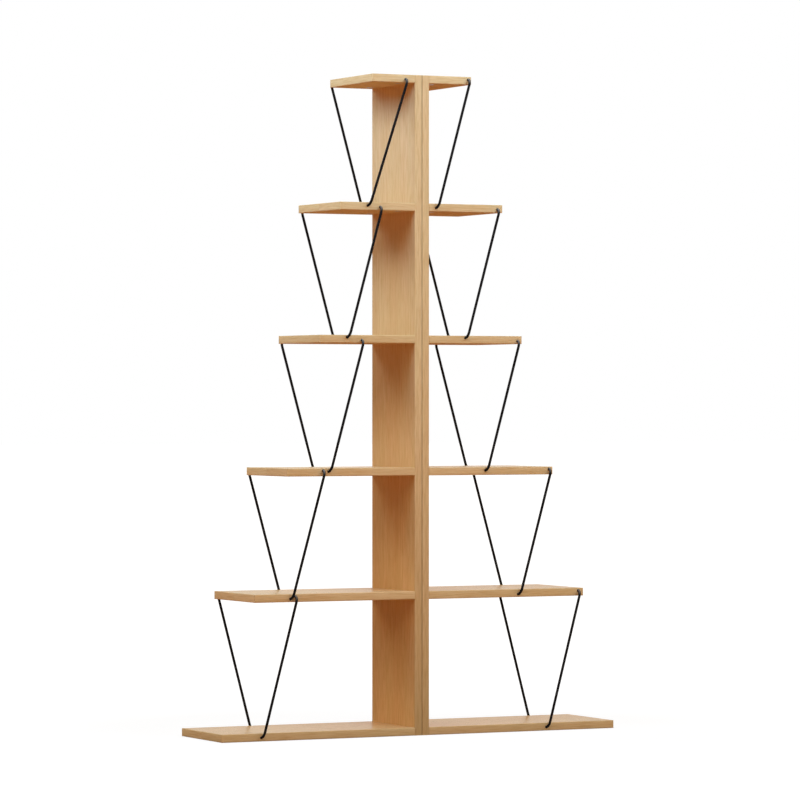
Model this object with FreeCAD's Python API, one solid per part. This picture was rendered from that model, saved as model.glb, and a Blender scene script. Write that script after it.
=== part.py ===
import FreeCAD, Part
import math
import os

# A free-standing bookcase in two halves that stand back to back.
# Each half is one upright with six shelves on its outer face, longer towards the floor.
# The left half is the right half turned half a turn about the vertical axis.
# Bent steel rods tie each shelf to the next one, in front of and behind the boards.
# The origin is on the floor, at mid depth, on the seam between the two uprights.
# X runs along the shelves, Y from front to back and Z up. Lengths are in millimetres.
# Levels, shelves and shares are listed from the top down.

# Boards
board_thickness = 18.0
board_depth = 220.0
band_thickness = 2.0
band_round_share = 0.9

# Heights from one shelf's top face to the next one's
pitch_1 = 289.0
pitch_2 = 298.0
pitch_3 = 298.0
pitch_4 = 279.0
pitch_5 = 307.0

# Distances from the seam to each shelf's outer end
reach_1 = 125.0
reach_2 = 205.0
reach_3 = 255.0
reach_4 = 335.0
reach_5 = 415.0
reach_6 = 495.0

# Rods
rod_diameter = 6.0
rod_bend_radius = 13.5
peg_depth = 16.0
peg_chamfer = 0.5
peg_side_gap = 0.2
peg_end_gap = 0.5
# A rod's bend starts this far inside its hole
bend_inset = 1.5

# Places of the rod holes, level by level, each as two shares. The first is of the shelf's length,
# outwards from the upright. The second is of the way down the shelf's edge, from the highest to
# the lowest place where a hole stays clear of the edge's rounded corners.
# The outer rods lean from a shelf's end towards the upright below, the inner rods outwards.
outer_head_shares = ((0.927, 0.19), (0.930, 0.64), (0.952, 0.78), (0.970, 0.00), (0.966, 0.09))
outer_foot_shares = ((0.092, 0.59), (0.387, 0.00), (0.451, 0.32), (0.573, 0.78), (0.630, 0.59))
inner_head_shares = ((0.217, 0.69), (0.467, 0.69), (0.562, 0.84), (0.723, 0.00), (0.749, 0.06))
inner_foot_shares = ((0.633, 0.32), (0.716, 0.00), (0.680, 0.27), (0.780, 0.73), (0.798, 0.57))

# Double-ended bolts that run through both uprights into the shelves on either side
bolt_inset = 37.0
bolt_diameter = 7.0
bolt_side_gap = 0.4
neck_diameter = 4.6
neck_length = 4.0
head_length = 3.0
head_seat_gap = 0.3
head_side_gap = 0.3

# Cams, sunk into the shelves' undersides, that draw the bolts tight
cam_set_back = 24.0
cam_room = 1.8
cam_wall = 2.2
cam_cap = 0.6
cam_recess = 0.2
cam_gap = 0.1
cam_turn_angle = 115.0
cross_length = 8.0
cross_width = 1.6
cross_depth = 3.0

# Dowels between the uprights and the shelves
dowel_spacing = 32.0
dowel_diameter = 8.0
dowel_length = 30.0
dowel_in_upright = 10.0
dowel_chamfer = 1.0
dowel_side_gap = 0.1
dowel_end_gap = 0.5
flute_count = 8
flute_radius = 0.5

# Cutting tools run past the face that they cut by this much
overrun = 2.0
# Ends of an edge this close to a plane lie in it
tolerance = 0.001

# Sizes worked out from the ones above
pitches = (pitch_1, pitch_2, pitch_3, pitch_4, pitch_5)
reaches = (reach_1, reach_2, reach_3, reach_4, reach_5, reach_6)
shelf_count = len(reaches)
level_count = len(pitches)
tops = [board_thickness + sum(pitches[index:]) for index in range(shelf_count)]
height = tops[0]
half_depth = board_depth / 2
core_half_depth = half_depth - band_thickness
band_round = band_thickness * band_round_share
mid_board = board_thickness / 2

rod_radius = rod_diameter / 2
rod_stand_off = rod_bend_radius - bend_inset
rod_hole_radius = rod_radius + peg_side_gap
hole_margin = band_round + rod_hole_radius
hole_range = board_thickness - hole_margin - hole_margin

bolt_radius = bolt_diameter / 2
neck_radius = neck_diameter / 2
bolt_row = half_depth - bolt_inset
dowel_row = bolt_row - dowel_spacing
dowel_radius = dowel_diameter / 2

cavity_radius = bolt_radius + cam_room
cavity_half_height = bolt_radius + head_side_gap
slot_half_height = neck_radius + head_side_gap
cam_radius = cavity_radius + cam_wall
cam_top = mid_board + cavity_half_height + cam_cap
cam_centre = board_thickness + cam_set_back
# The head's rim meets the round wall of the cavity, so its face stands back by a chord
head_face = cam_centre - math.sqrt(cavity_radius ** 2 - bolt_radius ** 2) + head_seat_gap

ORIGIN = FreeCAD.Vector(0, 0, 0)
ACROSS = FreeCAD.Vector(1, 0, 0)
BACK = FreeCAD.Vector(0, 1, 0)
UP = FreeCAD.Vector(0, 0, 1)
FRONT_SIDE = -1
REAR_SIDE = 1
HALF_TURN = 180.0
QUARTER_TURN = 90.0


def box(low, high):
    """A block between two opposite corners."""
    low = FreeCAD.Vector(*low)
    size = FreeCAD.Vector(*high) - low
    return Part.makeBox(size.x, size.y, size.z, low)


def turned(shape):
    """A copy of the shape, turned half a turn about the vertical axis."""
    copy = shape.copy()
    copy.rotate(ORIGIN, UP, HALF_TURN)
    return copy


def lies_in(edge, axis, value):
    """True where both ends of the edge have this value along the axis."""
    return all(abs(getattr(vertex.Point, axis) - value) < tolerance for vertex in edge.Vertexes)


def eased(strip, face, sides):
    """The strip, rounded along the edges where its face meets the sides."""
    edges = []
    for edge in strip.Edges:
        if lies_in(edge, *face) and any(lies_in(edge, *side) for side in sides):
            edges.append(edge)
    return strip.makeFillet(band_round, edges)


def hole_place(index, shares):
    """How far from the seam and how high a rod's hole in a shelf's edge is, from its two shares."""
    along_share, down_share = shares
    across = board_thickness + along_share * (reaches[index] - board_thickness)
    up = tops[index] - hole_margin - down_share * hole_range
    return across, up


def rod_holes_of(index, side):
    """The places of the rod holes in a shelf's front or rear edge."""
    heads, feet = (outer_head_shares, outer_foot_shares)
    if side == REAR_SIDE:
        heads, feet = (inner_head_shares, inner_foot_shares)
    places = []
    if index < level_count:
        places.append(hole_place(index, heads[index]))
    if index > 0:
        places.append(hole_place(index, feet[index - 1]))
    return places


def rod_hole_cutter(place, side):
    """A drilled hole for a rod's peg, from outside the board's edge inwards."""
    across, up = place
    start = FreeCAD.Vector(across, side * (half_depth + overrun), up)
    depth = overrun + peg_depth + peg_end_gap
    return Part.makeCylinder(rod_hole_radius, depth, start, BACK * -side)


def joint_rows(row):
    """The two places in depth, near the front and the rear, of a row of fittings."""
    return (FRONT_SIDE * row, REAR_SIDE * row)


def upright_cutters():
    """Bores for the bolts, right through, and blind holes for the dowels."""
    cutters = []
    dowel_hole_depth = dowel_in_upright + dowel_end_gap
    for top in tops:
        axis_height = top - mid_board
        for row in joint_rows(bolt_row):
            start = FreeCAD.Vector(-overrun, row, axis_height)
            length = board_thickness + overrun + overrun
            cutters.append(Part.makeCylinder(bolt_radius + bolt_side_gap, length, start, ACROSS))
        for row in joint_rows(dowel_row):
            start = FreeCAD.Vector(board_thickness - dowel_hole_depth, row, axis_height)
            length = dowel_hole_depth + overrun
            cutters.append(Part.makeCylinder(dowel_radius + dowel_side_gap, length, start, ACROSS))
    return cutters


def upright_core():
    """The right half's upright board, without its edge bands."""
    core = box((0, -core_half_depth, 0), (board_thickness, core_half_depth, height - band_thickness))
    return core.cut(upright_cutters())


def upright_bands():
    """The strips on the upright's front, rear and top edges."""
    sides = [("x", 0), ("x", board_thickness)]
    top_strip = box(
        (0, -core_half_depth, height - band_thickness),
        (board_thickness, core_half_depth, height),
    )
    strips = [eased(top_strip, ("z", height), sides)]
    for side in (FRONT_SIDE, REAR_SIDE):
        inner, outer = sorted((side * core_half_depth, side * half_depth))
        strip = box((0, inner, 0), (board_thickness, outer, height))
        strips.append(eased(strip, ("y", side * half_depth), sides + [("z", height)]))
    return strips


def shelf_core(index):
    """One of the right half's shelves, without its edge bands."""
    top = tops[index]
    core = box(
        (board_thickness, -core_half_depth, top - board_thickness),
        (reaches[index] - band_thickness, core_half_depth, top),
    )
    axis_height = top - mid_board
    cutters = []
    for row in joint_rows(bolt_row):
        start = FreeCAD.Vector(board_thickness - overrun, row, axis_height)
        length = cam_set_back + overrun
        cutters.append(Part.makeCylinder(bolt_radius + bolt_side_gap, length, start, ACROSS))
        start = FreeCAD.Vector(cam_centre, row, top - board_thickness - overrun)
        length = cam_top + cam_gap + overrun
        cutters.append(Part.makeCylinder(cam_radius + cam_gap, length, start, UP))
    for row in joint_rows(dowel_row):
        start = FreeCAD.Vector(board_thickness - overrun, row, axis_height)
        length = dowel_length - dowel_in_upright + dowel_end_gap + overrun
        cutters.append(Part.makeCylinder(dowel_radius + dowel_side_gap, length, start, ACROSS))
    for side in (FRONT_SIDE, REAR_SIDE):
        for place in rod_holes_of(index, side):
            cutters.append(rod_hole_cutter(place, side))
    return core.cut(cutters)


def shelf_bands(index):
    """The strips on a shelf's outer end, front edge and rear edge."""
    top = tops[index]
    reach = reaches[index]
    faces = [("z", top), ("z", top - board_thickness)]
    end_strip = box(
        (reach - band_thickness, -core_half_depth, top - board_thickness),
        (reach, core_half_depth, top),
    )
    strips = [eased(end_strip, ("x", reach), faces)]
    for side in (FRONT_SIDE, REAR_SIDE):
        inner, outer = sorted((side * core_half_depth, side * half_depth))
        strip = box((board_thickness, inner, top - board_thickness), (reach, outer, top))
        strip = eased(strip, ("y", side * half_depth), faces + [("x", reach)])
        holes = [rod_hole_cutter(place, side) for place in rod_holes_of(index, side)]
        strips.append(strip.cut(holes))
    return strips


def disc(centre, normal):
    """The rod's round section."""
    return Part.Face(Part.Wire(Part.makeCircle(rod_radius, centre, normal)))


def bend(corner, before, after):
    """A quarter turn of rod that rounds off a square corner of its path."""
    start = corner - before * rod_bend_radius
    centre = start + after * rod_bend_radius
    return disc(start, before).revolve(centre, before.cross(after), QUARTER_TURN)


def rod(level, side, heads, feet):
    """A steel rod: a peg in the upper shelf's edge, a leaning run and a peg in the lower shelf's."""
    outward = BACK * side
    face = side * half_depth
    head_across, head_up = hole_place(level, heads[level])
    foot_across, foot_up = hole_place(level + 1, feet[level])
    head_mouth = FreeCAD.Vector(head_across, face, head_up)
    foot_mouth = FreeCAD.Vector(foot_across, face, foot_up)
    head_corner = head_mouth + outward * rod_stand_off
    foot_corner = foot_mouth + outward * rod_stand_off
    down = (foot_corner - head_corner).normalize()
    run_length = head_corner.distanceToPoint(foot_corner) - rod_bend_radius - rod_bend_radius
    peg_length = peg_depth - bend_inset
    pieces = [
        peg(head_mouth - outward * peg_depth, outward, peg_length),
        bend(head_corner, outward, down),
        disc(head_corner + down * rod_bend_radius, down).extrude(down * run_length),
        bend(foot_corner, down, outward * -1),
        peg(foot_mouth - outward * peg_depth, outward, peg_length),
    ]
    return pieces[0].fuse(pieces[1:]).removeSplitter().Solids[0]


def peg(end, outward, length):
    """A straight end of a rod, chamfered where it goes into its hole first."""
    tip = Part.makeCone(rod_radius - peg_chamfer, rod_radius, peg_chamfer, end, outward)
    shaft_length = length - peg_chamfer
    shaft = Part.makeCylinder(rod_radius, shaft_length, end + outward * peg_chamfer, outward)
    return tip.fuse(shaft)


def cam(row, top):
    """A cam: a small drum, hollow for the bolt's head, with a slot for its neck."""
    underside = top - board_thickness
    axis_height = top - mid_board
    body_height = cam_top - cam_recess
    base = FreeCAD.Vector(cam_centre, row, underside + cam_recess)
    drum = Part.makeCylinder(cam_radius, body_height, base, UP)
    middle = FreeCAD.Vector(cam_centre, row, axis_height)
    cavity_base = middle - UP * cavity_half_height
    cavity = Part.makeCylinder(cavity_radius, 2 * cavity_half_height, cavity_base, UP)
    slot = Part.makeCylinder(
        cam_radius + overrun, 2 * slot_half_height, middle - UP * slot_half_height, UP, cam_turn_angle
    )
    neck_angle = math.degrees(math.asin(slot_half_height / cavity_radius))
    slot.rotate(middle, UP, HALF_TURN - neck_angle)
    mouth = Part.makeCylinder(cavity_half_height, cam_radius + overrun, middle, ACROSS)
    mouth.rotate(middle, UP, HALF_TURN + cam_turn_angle - neck_angle)
    cross = []
    for length, width in ((cross_length, cross_width), (cross_width, cross_length)):
        cross.append(box(
            (cam_centre - length / 2, row - width / 2, underside - overrun),
            (cam_centre + length / 2, row + width / 2, underside + cam_recess + cross_depth),
        ))
    return drum.cut([cavity, slot, mouth] + cross)


def bolt(row, top):
    """A double-ended bolt: a long shank with a neck and a head at each end."""
    axis_height = top - mid_board
    shank_end = head_face - neck_length
    parts = [(-shank_end, shank_end, bolt_radius)]
    for start, end in ((shank_end, head_face), (-head_face, -shank_end)):
        parts.append((start, end, neck_radius))
    for start, end in ((head_face, head_face + head_length), (-head_face - head_length, -head_face)):
        parts.append((start, end, bolt_radius))
    solids = []
    for start, end, radius in parts:
        place = FreeCAD.Vector(start, row, axis_height)
        solids.append(Part.makeCylinder(radius, end - start, place, ACROSS))
    return solids[0].fuse(solids[1:])


def dowel(row, top):
    """A fluted wooden dowel with chamfered ends, across the joint of upright and shelf."""
    start = FreeCAD.Vector(board_thickness - dowel_in_upright, row, top - mid_board)
    tip_radius = dowel_radius - dowel_chamfer
    far_end = start + ACROSS * (dowel_length - dowel_chamfer)
    shaft_length = dowel_length - dowel_chamfer - dowel_chamfer
    body = Part.makeCone(tip_radius, dowel_radius, dowel_chamfer, start, ACROSS).fuse([
        Part.makeCylinder(dowel_radius, shaft_length, start + ACROSS * dowel_chamfer, ACROSS),
        Part.makeCone(dowel_radius, tip_radius, dowel_chamfer, far_end, ACROSS),
    ])
    flutes = []
    for index in range(flute_count):
        angle = math.tau * index / flute_count
        offset = FreeCAD.Vector(0, math.cos(angle), math.sin(angle)) * dowel_radius
        flutes.append(Part.makeCylinder(flute_radius, dowel_length, start + offset, ACROSS))
    return body.cut(flutes)


def fittings(make, row):
    """The same fitting at every shelf's joint, near the front and near the rear."""
    return [make(place, top) for top in tops for place in joint_rows(row)]


def add_pair(nodes, name, pieces):
    """Adds a node of the right half and its turned copy in the left half."""
    nodes["right_" + name] = pieces
    nodes["left_" + name] = [turned(piece) for piece in pieces]


def add_rods(nodes, level):
    """Adds the four rods of a level; turning a front rod makes it a rear one."""
    number = str(level + 1)
    outer = rod(level, FRONT_SIDE, outer_head_shares, outer_foot_shares)
    inner = rod(level, REAR_SIDE, inner_head_shares, inner_foot_shares)
    nodes["right_front_rod_" + number] = [outer]
    nodes["left_rear_rod_" + number] = [turned(outer)]
    nodes["right_rear_rod_" + number] = [inner]
    nodes["left_front_rod_" + number] = [turned(inner)]


def all_nodes():
    """Every piece of the bookcase, by the name of its node."""
    nodes = {}
    add_pair(nodes, "upright", [upright_core()])
    add_pair(nodes, "upright_bands", upright_bands())
    for index in range(shelf_count):
        number = str(index + 1)
        add_pair(nodes, "shelf_" + number, [shelf_core(index)])
        add_pair(nodes, "shelf_bands_" + number, shelf_bands(index))
    for level in range(level_count):
        add_rods(nodes, level)
    nodes["joint_bolts"] = fittings(bolt, bolt_row)
    add_pair(nodes, "cams", fittings(cam, bolt_row))
    add_pair(nodes, "dowels", fittings(dowel, dowel_row))
    return nodes


os.makedirs("parts", exist_ok=True)
for node, pieces in all_nodes().items():
    shape = pieces[0] if len(pieces) == 1 else Part.makeCompound(pieces)
    shape.exportStep("parts/" + node + ".step")
    solids = shape.Solids
    volume = sum(solid.Volume for solid in solids)
    print(node, len(solids), "solids", round(volume), "mm3", "valid" if shape.isValid() else "INVALID")
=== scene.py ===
import math

import bpy
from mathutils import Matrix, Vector


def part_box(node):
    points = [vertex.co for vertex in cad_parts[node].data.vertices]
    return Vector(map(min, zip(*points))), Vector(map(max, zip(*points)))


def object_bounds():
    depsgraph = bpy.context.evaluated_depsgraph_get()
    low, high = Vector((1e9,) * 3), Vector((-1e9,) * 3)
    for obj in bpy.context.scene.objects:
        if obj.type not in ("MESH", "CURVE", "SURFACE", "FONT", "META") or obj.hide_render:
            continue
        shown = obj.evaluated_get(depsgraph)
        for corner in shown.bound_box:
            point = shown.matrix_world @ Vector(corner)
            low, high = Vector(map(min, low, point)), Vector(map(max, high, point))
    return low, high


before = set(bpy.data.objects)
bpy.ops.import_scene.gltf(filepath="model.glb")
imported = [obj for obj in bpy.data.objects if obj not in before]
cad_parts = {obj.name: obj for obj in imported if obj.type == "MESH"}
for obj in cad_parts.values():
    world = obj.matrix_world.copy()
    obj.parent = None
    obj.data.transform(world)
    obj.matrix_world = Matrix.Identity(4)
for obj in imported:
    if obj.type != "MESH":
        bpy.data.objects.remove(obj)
cad_low, cad_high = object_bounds()

# Metres in a millimetre, and millimetres in a metre
MM = 0.001
METRE = 1000.0

# Camera: a long lens, level, to the front left, as solved from the corners of the boards
PHOTO_SIDE = 800
PHOTO_FOCAL_PIXELS = 4332.4
PHOTO_HORIZON = 401.2
SENSOR = 36.0
CAMERA_PLACE = Vector((-4405.9, -8832.8, 753.6)) * MM
CAMERA_TURN = math.radians(26.506)
CLIP_END = 200.0

# Light: cool lamps, a warm dome, and what the floor gives back near the object, with painted shade there,
# and far from it
COOL = (0.65, 1.00, 1.35)
WARM = (1.12, 1.00, 0.88)
DOME = (1.87, 1.56, 1.25)
WHITE = (1.0, 1.0, 1.0)
BLACK = (0.0, 0.0, 0.0)
FLOOR_NEAR_SHADE = (0.240, 0.108, 0.045)
FLOOR_FAR = (0.596, 0.269, 0.110)

# The dome is a ring of light, which comes in and goes out between these heights on a unit sphere
DOME_FOOT = (0.33, 0.47)
DOME_TOP = (0.63, 0.77)

# Soft boxes, in metres and watts: name, place, the point that each faces, side, power, colour, beam
TOP_BAY = (0.0, 0.0, 1.3)
LOWEST_BAY = (0.0, 0.0, 0.3)
NARROW_BEAM = math.radians(120.0)
WIDE_BEAM = math.radians(180.0)
LAMPS = (
    ("front", (0.5, -1.2, 2.1), TOP_BAY, 0.8, 4.2, COOL, NARROW_BEAM),
    ("left", (-1.3, -0.4, 2.1), TOP_BAY, 0.8, 5.3, COOL, NARROW_BEAM),
    ("rear_left", (-1.0, 1.2, 2.1), TOP_BAY, 0.8, 2.1, COOL, NARROW_BEAM),
    ("low_front", (0.4, -2.6, 0.9), LOWEST_BAY, 1.2, 5.5, WARM, WIDE_BEAM),
)

# Floor: half its side, its gap to the object, and the distances over which its tone and glow change
FLOOR_HALF = 60.0
FLOOR_GAP = 0.2 * MM
FLOOR_FADE = (0.3, 1.3)
GLOW_FADE = (0.7, 1.6)
GLOW_SHARES = (0.86, 1.0)
FLOOR_PALE = (0.205, 0.215, 0.225)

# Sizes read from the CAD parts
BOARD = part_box("right_upright")[1].x
CORE_HALF_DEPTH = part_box("right_upright")[1].y
SHELVES = sum("left_shelf_bands_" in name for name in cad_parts)

# Light oak foil, as linear colours: light, middle and deep wood, and pores
OAK = ((0.865, 0.625, 0.348), (0.806, 0.562, 0.296), (0.700, 0.445, 0.200), (0.420, 0.228, 0.092))

# The edge bands print a little greyer and finer
BAND = ((0.890, 0.672, 0.378), (0.845, 0.608, 0.317), (0.735, 0.495, 0.236), (0.384, 0.230, 0.111))

# Oak drifts between a rosy and a straw tone, as factors on its colour
ROSY = (1.010, 0.988, 0.985)
STRAW = (0.992, 1.010, 0.990)

# Patterns in oak: noise cells to the metre along the grain and across it, octaves, their roughness
STREAK = (METRE / 600.0, METRE / 9.0, 3.0, 0.6)
FIBRE = (METRE / 45.0, METRE / 2.4, 2.0, 0.6)
PORE = (METRE / 14.0, METRE / 0.9, 1.0, 0.5)
TONE = (METRE / 900.0, METRE / 60.0, 2.0, 0.5)
DRIFT = (METRE / 300.0, METRE / 38.0, 2.0, 0.5)
BAND_LINE = (METRE / 500.0, METRE / 3.2, 3.0, 0.65)
SWAY = (0.9, 1.5, 1.0, 0.5)
WANDER = (1.6, 9.0, 2.0, 0.5)

# Patterns of the coat, zinc, steel and beech, in the same order. Turned steel has rings alone
PEEL = (900.0, 900.0, 2.0, 0.5)
CLOUD = (60.0, 60.0, 3.0, 0.5)
MOTTLE = (400.0, 400.0, 4.0, 0.6)
TURNED = (4000.0, 0.0, 1.0, 0.5)
BEECH_FIBRE = (40.0, 1200.0, 2.0, 0.5)
BEECH_FLECK = (260.0, 1900.0, 0.0, 0.5)

# The part of a noise's range that most of it fills, and nearly all of it
NOISE_CORE = (0.3, 0.7)
NOISE_SPAN = (0.2, 0.8)

# Where each pattern comes in on its noise
STREAK_RANGE = (0.30, 0.72)
TONE_RANGE = (0.40, 0.80)
FIBRE_RANGE = (0.42, 0.68)
DRIFT_RANGE = (0.35, 0.65)
SWAY_RANGE = (0.25, 0.75)
BAND_LINE_RANGE = (0.45, 0.75)
BEECH_FLECK_RANGE = (0.62, 0.70)

# How strongly each pattern shows in the colour, the figure being that of the fibres
BOARD_FIGURE = 0.85
BAND_FIGURE = 0.95
TONE_SHARE = 0.42
RING_SHARE = 0.24
PORE_SHARE = 0.30
BEECH_FLECK_SHARE = 0.6

# A pore starts here on its noise, or a little lower inside a ring, and has a soft edge
PORE_START = 0.70
PORE_IN_RING = 0.10
PORE_EDGE = 0.12

# Growth rings: their width, how deep their heart lies, how far to the side, and how far it strays
RING_WIDTH = 5.2 * MM
HEART_DEPTH = (10.0 * MM, 85.0 * MM)
HEART_SIDE = 45.0 * MM
HEART_WANDER = 24.0 * MM

# Across a ring the dark early wood is full at the first share, and gone at the second
EARLY_WOOD_SHARE = 0.12
LATE_WOOD_SHARE = 0.75

# From one board to the next, the spot in the wood moves on by so much along each axis, in metres
SPOT_STEPS = (1.37, 0.53, 0.29)

# What a sawn board shows inside, under the skin of its foil
SKIN = 0.05 * MM
CHIP = 1.9 * MM
CHIP_LIGHT = (0.560, 0.420, 0.260)
CHIP_DARK = (0.290, 0.190, 0.100)
CHIP_ROUGHNESS = 0.9

# Dust and painted shade in the joint between the two uprights
JOINT_REACH = 1.3 * MM
JOINT_SHARE = 0.72
JOINT_DIRT_AND_SHADE = (0.150, 0.060, 0.022)

# Painted light on the uprights by height: shade on the bands and warm bounce light on the faces towards
# the floor, and paler light on the faces towards the top. Each gives the height where it starts, where it
# is full, and its factors on the colour
BAND_FOOT_SHADE = (700.0 * MM, 0.0, (0.83, 0.78, 0.72))
FACE_FOOT_WARM_LIGHT = (850.0 * MM, 250.0 * MM, (1.045, 0.945, 0.780))
FACE_TOP_LIGHT = (1050.0 * MM, 1250.0 * MM, (1.020, 1.045, 1.120))

# Black powder coat between its two tones, and the film of dust with a painted highlight that comes in as
# it turns to face up
COAT = ((0.008, 0.007, 0.007), (0.015, 0.013, 0.013))
DUST_AND_HIGHLIGHT = (0.240, 0.222, 0.210)
DUST_AND_HIGHLIGHT_RISE = (0.30, 0.85)

# Cast zinc, plated steel and beech, each between a dark and a pale tone
ZINC = ((0.42, 0.42, 0.43), (0.60, 0.60, 0.62))
STEEL = ((0.52, 0.53, 0.54), (0.68, 0.69, 0.71))
BEECH = ((0.62, 0.43, 0.26), (0.70, 0.51, 0.33))
BEECH_BROWN = (0.36, 0.20, 0.10)

# Gloss: the upper faces are polished by use and the undersides are dull
TOP_ROUGHNESS = 0.29
UPRIGHT_ROUGHNESS = 0.50
UNDERSIDE_ROUGHNESS = 0.85
FIBRE_ROUGHNESS = 0.05
PORE_ROUGHNESS = 0.12
COAT_ROUGHNESS = (0.40, 0.50)
DUST_AND_HIGHLIGHT_ROUGHNESS = 0.20
ZINC_ROUGHNESS = (0.38, 0.55)
STEEL_ROUGHNESS = (0.22, 0.36)
BEECH_ROUGHNESS = (0.55, 0.70)
DULL_GLOSS = {"Specular IOR Level": 0.03}
BEECH_GLOSS = {"Specular IOR Level": 0.3}
METAL_GLOSS = {"Metallic": 1.0}

# How deep the finest relief of each finish goes, and what share of a pore's depth fibres have
BOARD_RELIEF = 0.05 * MM
BAND_RELIEF = 0.04 * MM
COAT_RELIEF = 0.02 * MM
ZINC_RELIEF = 0.04 * MM
STEEL_RELIEF = 0.02 * MM
BEECH_RELIEF = 0.04 * MM
FIBRE_HEIGHT_SHARE = 0.35

# The shelves' bands bulge a little, from their edges to their middle
BAND_CROWN = 0.4 * MM


class Tree:
    """A short way to add nodes to a material's or the world's node tree and to join them up."""

    def __init__(self, owner):
        owner.use_nodes = True
        self.tree = owner.node_tree
        self.tree.nodes.clear()

    def join(self, value, socket):
        """Gives a socket a value or another node's output."""
        if isinstance(value, bpy.types.NodeSocket):
            self.tree.links.new(value, socket)
        else:
            socket.default_value = value

    def add(self, kind, inputs=None, **settings):
        """Adds a node, with its settings and its inputs by name or number."""
        node = self.tree.nodes.new("ShaderNode" + kind)
        for name, value in settings.items():
            setattr(node, name, value)
        for name, value in (inputs or {}).items():
            self.join(value, node.inputs[name])
        return node

    def math(self, operation, first, second=0.0, third=0.0, clamp=False):
        """The number that one Math node works out."""
        inputs = {0: first, 1: second, 2: third}
        return self.add("Math", inputs, operation=operation, use_clamp=clamp).outputs[0]

    def mix(self, share, first, second, blend="MIX"):
        """The colour that one Mix node gives, from the first at share 0 to the second at 1."""
        inputs = {0: share, 6: first, 7: second}
        return self.add("Mix", inputs, data_type="RGBA", blend_type=blend).outputs[2]

    def spread(self, value, low, high, to_low=0.0, to_high=1.0):
        """The value moved evenly from one range to another and held inside it."""
        inputs = {0: value, 1: low, 2: high, 3: to_low, 4: to_high}
        return self.add("MapRange", inputs).outputs[0]

    def place(self):
        """The place on the object in metres, as a vector."""
        return self.add("TexCoord").outputs["Object"]

    def split(self, vector):
        """The three numbers of a vector."""
        return self.add("SeparateXYZ", {0: vector}).outputs

    def vector(self, x, y, z):
        """A vector of three numbers."""
        return self.add("CombineXYZ", {0: x, 1: y, 2: z}).outputs[0]

    def length(self, vector):
        """The length of a vector."""
        return self.add("VectorMath", {0: vector}, operation="LENGTH").outputs["Value"]

    def noise(self, vector, pattern):
        """The noise of a pattern, whose grain runs along the vector's first axis."""
        along, across, octaves, roughness = pattern
        stretch = (along, across, across)
        scaled = self.add("VectorMath", {0: vector, 1: stretch}, operation="MULTIPLY").outputs[0]
        inputs = {"Vector": scaled, "Scale": 1.0, "Detail": octaves, "Roughness": roughness}
        return self.add("TexNoise", inputs).outputs[0]

    def bump(self, height, depth, normal=None):
        """The normal of a surface that rises and falls by that depth in metres."""
        inputs = {"Height": height, "Distance": depth}
        if normal:
            inputs["Normal"] = normal
        return self.add("Bump", inputs).outputs[0]

    def surface(self, colour, roughness, height, relief, gloss, normal=None):
        """Ends the tree in a Principled shader, whose height rises and falls by that relief."""
        normal = self.bump(height, relief, normal)
        inputs = {**gloss, "Base Color": colour, "Roughness": roughness, "Normal": normal}
        shader = self.add("BsdfPrincipled", inputs)
        self.add("OutputMaterial", {"Surface": shader.outputs[0]})


def rgba(colour):
    """An opaque colour."""
    return (*colour, 1.0)


def new_material(name):
    """A material and its empty tree."""
    material = bpy.data.materials.new(name)
    return material, Tree(material)


def dress(node, material):
    """Gives a CAD node its finish."""
    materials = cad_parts[node].data.materials
    materials.clear()
    materials.append(material)


def grain(tree, along, across, depth, seed):
    """The spot in the wood: along the grain, across it and into it, moved on for each seed."""
    along_step, across_step, depth_step = SPOT_STEPS
    return tree.vector(
        tree.math("ADD", along, along_step * seed),
        tree.math("ADD", across, across_step * seed),
        tree.math("ADD", depth, depth_step * seed),
    )


def growth_rings(tree, spot, across, heart):
    """Where the face cuts the yearly rings: near 1 in the dark early wood and 0 in the late wood."""
    depth = tree.spread(tree.noise(spot, SWAY), *SWAY_RANGE, *HEART_DEPTH)
    from_heart = tree.math("ADD", across, heart)
    side = tree.math("MULTIPLY_ADD", tree.noise(spot, WANDER), HEART_WANDER, from_heart)
    radius = tree.length(tree.vector(side, depth, 0.0))
    ring = tree.math("FRACT", tree.math("DIVIDE", radius, RING_WIDTH))
    rise = tree.spread(ring, 0.0, EARLY_WOOD_SHARE)
    fall = tree.spread(ring, EARLY_WOOD_SHARE, LATE_WOOD_SHARE, 1.0, 0.0)
    return tree.math("MULTIPLY", rise, fall)


def pores(tree, spot, rings):
    """Short dark dashes along the grain, near 1 in a pore. There are more of them in the rings."""
    low = tree.math("SUBTRACT", PORE_START, tree.math("MULTIPLY", rings, PORE_IN_RING))
    return tree.spread(tree.noise(spot, PORE), low, tree.math("ADD", low, PORE_EDGE))


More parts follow.
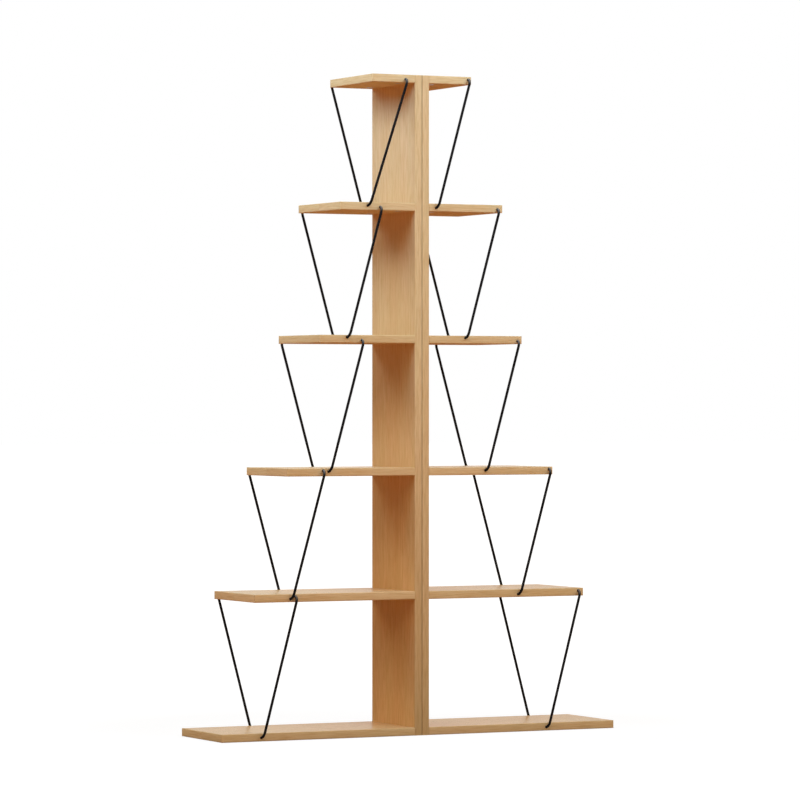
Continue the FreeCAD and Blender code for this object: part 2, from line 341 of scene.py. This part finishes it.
def oak(tree, spot, rings, colours, figure, face_roughness):
    """The colour, roughness and height of oak foil at a spot, with its fibres as strong as its figure."""
    light, middle, deep, pore_colour = (rgba(colour) for colour in colours)
    fibres = tree.noise(spot, FIBRE)
    pore = pores(tree, spot, rings)
    colour = tree.mix(tree.spread(tree.noise(spot, STREAK), *STREAK_RANGE), light, middle)
    tone = tree.spread(tree.noise(spot, TONE), *TONE_RANGE, 0.0, TONE_SHARE)
    colour = tree.mix(tone, colour, deep)
    colour = tree.mix(tree.math("MULTIPLY", rings, RING_SHARE), colour, deep)
    colour = tree.mix(tree.spread(fibres, *FIBRE_RANGE, 0.0, figure), colour, deep)
    drift = tree.spread(tree.noise(spot, DRIFT), *DRIFT_RANGE)
    colour = tree.mix(1.0, colour, tree.mix(drift, rgba(ROSY), rgba(STRAW)), "MULTIPLY")
    colour = tree.mix(tree.math("MULTIPLY", pore, PORE_SHARE), colour, pore_colour)
    roughness = tree.spread(fibres, *NOISE_SPAN, -FIBRE_ROUGHNESS, FIBRE_ROUGHNESS)
    roughness = tree.math("ADD", face_roughness, roughness)
    roughness = tree.math("MULTIPLY_ADD", pore, PORE_ROUGHNESS, roughness)
    height = tree.math("MULTIPLY_ADD", pore, -1.0, tree.math("MULTIPLY", fibres, FIBRE_HEIGHT_SHARE))
    return colour, roughness, height


def painted_light_by_height(tree, colour, height, tone):
    """The colour with a painted change of light that comes in between two heights."""
    start, full, factors = tone
    share = tree.spread(height, start, full)
    return tree.mix(share, colour, rgba(factors), "MULTIPLY")


def chipboard(tree, place):
    """The colour of the pressed chips inside a board."""
    flakes = tree.add("TexVoronoi", {"Vector": place, "Scale": 1.0 / CHIP}).outputs["Color"]
    shade = tree.add("SeparateColor", {0: flakes}).outputs[0]
    return tree.mix(shade, rgba(CHIP_DARK), rgba(CHIP_LIGHT))


def inside(tree, distance, size):
    """1 where a distance lies inside a board of that size, and 0 on its two faces."""
    above = tree.math("GREATER_THAN", distance, SKIN)
    below = tree.math("LESS_THAN", distance, size - SKIN)
    return tree.math("MULTIPLY", above, below)


def board_material(name, seed, underside=None):
    """Oak foil on a board's two faces, and chips where it was sawn. An upright has no underside."""
    material, tree = new_material(name)
    place = tree.place()
    x, y, z = tree.split(place)
    if underside is None:
        along, thickness = z, tree.math("ABSOLUTE", x)
        face = UPRIGHT_ROUGHNESS
    else:
        along, thickness = x, tree.math("SUBTRACT", z, underside)
        face = tree.spread(thickness, 0.0, BOARD, UNDERSIDE_ROUGHNESS, TOP_ROUGHNESS)
    spot = grain(tree, along, y, thickness, seed)
    rings = growth_rings(tree, spot, y, HEART_SIDE * math.sin(seed))
    colour, roughness, height = oak(tree, spot, rings, OAK, BOARD_FIGURE, face)
    if underside is None:
        # Painted light: warm bounce light towards the floor and paler light towards the top
        colour = painted_light_by_height(tree, colour, z, FACE_FOOT_WARM_LIGHT)
        colour = painted_light_by_height(tree, colour, z, FACE_TOP_LIGHT)
    sawn = inside(tree, thickness, BOARD)
    colour = tree.mix(sawn, colour, chipboard(tree, place))
    roughness = tree.math("MAXIMUM", roughness, tree.math("MULTIPLY", sawn, CHIP_ROUGHNESS))
    tree.surface(colour, roughness, height, BOARD_RELIEF, DULL_GLOSS)
    return material


def band_material(name, seed, underside=None):
    """Fine straight grain along each strip: the front and rear ones, and the one across their ends."""
    material, tree = new_material(name)
    x, y, z = tree.split(tree.place())
    run, side = (z, x) if underside is None else (x, z)
    across_end = tree.math("LESS_THAN", tree.math("ABSOLUTE", y), CORE_HALF_DEPTH)
    along = tree.add("Mix", {0: across_end, 2: run, 3: y}, data_type="FLOAT").outputs[0]
    spot = grain(tree, along, side, tree.math("SIGN", y), seed)
    rings = tree.spread(tree.noise(spot, BAND_LINE), *BAND_LINE_RANGE)
    colour, roughness, height = oak(tree, spot, rings, BAND, BAND_FIGURE, UPRIGHT_ROUGHNESS)
    if underside is None:
        # Painted shade: the bands turn darker and browner towards the floor
        colour = painted_light_by_height(tree, colour, z, BAND_FOOT_SHADE)
        # Dust and painted shade darken the joint between the two uprights
        dirt_and_shade = tree.spread(tree.math("ABSOLUTE", x), 0.0, JOINT_REACH, JOINT_SHARE, 0.0)
        colour = tree.mix(dirt_and_shade, colour, rgba(JOINT_DIRT_AND_SHADE))
        crown = None
    else:
        from_middle = tree.spread(z, underside, underside + BOARD, -1.0, 1.0)
        crown = tree.bump(tree.math("MULTIPLY", from_middle, from_middle), -BAND_CROWN)
    tree.surface(colour, roughness, height, BAND_RELIEF, DULL_GLOSS, crown)
    return material


def powder_coat():
    """Satin black powder coat with a fine orange peel, and a film of dust with a painted highlight where
    it faces up.
    """
    material, tree = new_material("black_powder_coat")
    place = tree.place()
    cloud = tree.noise(place, CLOUD)
    up = tree.split(tree.add("NewGeometry").outputs["Normal"])[2]
    # Dust and a painted highlight of the light from above, on the faces that turn up
    dust_and_highlight = tree.spread(up, *DUST_AND_HIGHLIGHT_RISE)
    dark, pale = COAT
    colour = tree.mix(cloud, rgba(dark), rgba(pale))
    colour = tree.mix(dust_and_highlight, colour, rgba(DUST_AND_HIGHLIGHT))
    roughness = tree.spread(cloud, *NOISE_CORE, *COAT_ROUGHNESS)
    roughness = tree.math("MULTIPLY_ADD", dust_and_highlight, DUST_AND_HIGHLIGHT_ROUGHNESS, roughness)
    tree.surface(colour, roughness, tree.noise(place, PEEL), COAT_RELIEF, DULL_GLOSS)
    return material


def metal(name, colours, roughness_range, pattern, relief):
    """Bare metal, with its two tones, its gloss and its relief from one pattern."""
    material, tree = new_material(name)
    noise = tree.noise(tree.place(), pattern)
    dark, pale = colours
    colour = tree.mix(noise, rgba(dark), rgba(pale))
    roughness = tree.spread(noise, *NOISE_CORE, *roughness_range)
    tree.surface(colour, roughness, noise, relief, METAL_GLOSS)
    return material


def beech():
    """Pale beech, along the dowel, with its short brown flecks."""
    material, tree = new_material("beech")
    place = tree.place()
    fibres = tree.noise(place, BEECH_FIBRE)
    flecks = tree.spread(tree.noise(place, BEECH_FLECK), *BEECH_FLECK_RANGE)
    dark, pale = BEECH
    colour = tree.mix(fibres, rgba(dark), rgba(pale))
    colour = tree.mix(tree.math("MULTIPLY", flecks, BEECH_FLECK_SHARE), colour, rgba(BEECH_BROWN))
    roughness = tree.spread(fibres, *NOISE_SPAN, *BEECH_ROUGHNESS)
    tree.surface(colour, roughness, fibres, BEECH_RELIEF, BEECH_GLOSS)
    return material


def dress_boards():
    """Each board and its bands get a stretch of grain of their own."""
    seed = 1
    for side in ("left", "right"):
        upright = side + "_upright"
        dress(upright, board_material(upright + "_oak", seed))
        dress(upright + "_bands", band_material(upright + "_band_oak", seed))
        for number in range(1, SHELVES + 1):
            seed += 1
            shelf = f"{side}_shelf_{number}"
            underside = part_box(shelf)[0].z
            dress(shelf, board_material(shelf + "_oak", seed, underside))
            dress(f"{side}_shelf_bands_{number}", band_material(shelf + "_band_oak", seed, underside))
        seed += 1


def dress_metal_and_dowels():
    """The rods, cams, dowels and bolts each get one finish for all of their kind."""
    black = powder_coat()
    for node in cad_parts:
        if "_rod_" in node:
            dress(node, black)
    zinc = metal("cast_zinc", ZINC, ZINC_ROUGHNESS, MOTTLE, ZINC_RELIEF)
    wood = beech()
    for side in ("left", "right"):
        dress(side + "_cams", zinc)
        dress(side + "_dowels", wood)
    dress("joint_bolts", metal("plated_steel", STEEL, STEEL_ROUGHNESS, TURNED, STEEL_RELIEF))


def add_camera():
    """The photo's camera, level but for the tilt that its horizon gives."""
    data = bpy.data.cameras.new("photo_camera")
    camera = bpy.data.objects.new("photo_camera", data)
    bpy.context.scene.collection.objects.link(camera)
    data.sensor_width = SENSOR
    data.lens = PHOTO_FOCAL_PIXELS * SENSOR / PHOTO_SIDE
    data.clip_end = CLIP_END
    camera.location = CAMERA_PLACE
    tilt = math.atan((PHOTO_HORIZON - PHOTO_SIDE / 2) / PHOTO_FOCAL_PIXELS)
    camera.rotation_euler = (math.pi / 2 + tilt, 0, -CAMERA_TURN)
    bpy.context.scene.camera = camera


def add_lamp(name, place, aim, size, power, colour, beam):
    """A square soft box that faces a point, with its beam held to an angle."""
    data = bpy.data.lights.new(name, "AREA")
    lamp = bpy.data.objects.new(name, data)
    bpy.context.scene.collection.objects.link(lamp)
    data.shape = "SQUARE"
    data.size = size
    data.energy = power
    data.color = colour
    data.spread = beam
    lamp.location = place
    lamp.rotation_euler = (Vector(aim) - Vector(place)).to_track_quat("-Z", "Y").to_euler()


def seen_directly(tree):
    """1 for what the camera sees, also in gloss and through glass, and 0 for light that is scattered."""
    path = tree.add("LightPath").outputs
    seen = tree.math("ADD", path["Is Camera Ray"], path["Is Glossy Ray"])
    return tree.math("ADD", seen, path["Is Transmission Ray"], clamp=True)


def add_world():
    """White to look at, and a soft warm ring of light round the object for the scattered rays."""
    world = bpy.data.worlds.new("studio")
    bpy.context.scene.world = world
    tree = Tree(world)
    up = tree.split(tree.add("TexCoord").outputs["Generated"])[2]
    level = tree.math("MULTIPLY", tree.spread(up, *DOME_FOOT), tree.spread(up, *DOME_TOP, 1.0, 0.0))
    dome = tree.mix(level, rgba(BLACK), rgba(DOME))
    colour = tree.mix(seen_directly(tree), dome, rgba(WHITE))
    background = tree.add("Background", {"Color": colour, "Strength": 1.0})
    tree.add("OutputWorld", {"Surface": background.outputs[0]})


def floor_material():
    """Brown to the scattered rays, with painted shade near the object, and white to the eye, with a faint
    shadow near the object.
    """
    material, tree = new_material("floor")
    away = tree.length(tree.place())
    # The floor gives back less light near the object, as painted shade
    tone = tree.mix(tree.spread(away, *FLOOR_FADE), rgba(FLOOR_NEAR_SHADE), rgba(FLOOR_FAR))
    matte = tree.add("BsdfDiffuse", {"Color": tone})
    pale = tree.add("BsdfDiffuse", {"Color": rgba(FLOOR_PALE)})
    strength = tree.spread(away, *GLOW_FADE, *GLOW_SHARES)
    glow = tree.add("Emission", {"Color": rgba(WHITE), "Strength": strength})
    shown = tree.add("AddShader", {0: pale.outputs[0], 1: glow.outputs[0]})
    both = tree.add("MixShader", {0: seen_directly(tree), 1: matte.outputs[0], 2: shown.outputs[0]})
    tree.add("OutputMaterial", {"Surface": both.outputs[0]})
    return material


def add_floor():
    """A plain square just below the object."""
    mesh = bpy.data.meshes.new("floor")
    signs = ((-1, -1), (1, -1), (1, 1), (-1, 1))
    corners = [(x * FLOOR_HALF, y * FLOOR_HALF, 0.0) for x, y in signs]
    mesh.from_pydata(corners, [], [(0, 1, 2, 3)])
    floor = bpy.data.objects.new("floor", mesh)
    bpy.context.scene.collection.objects.link(floor)
    floor.location.z = cad_low.z - FLOOR_GAP
    mesh.materials.append(floor_material())


dress_boards()
dress_metal_and_dowels()
add_camera()
add_world()
add_floor()
for lamp in LAMPS:
    add_lamp(*lamp)

bpy.context.scene.view_settings.view_transform = "Standard"
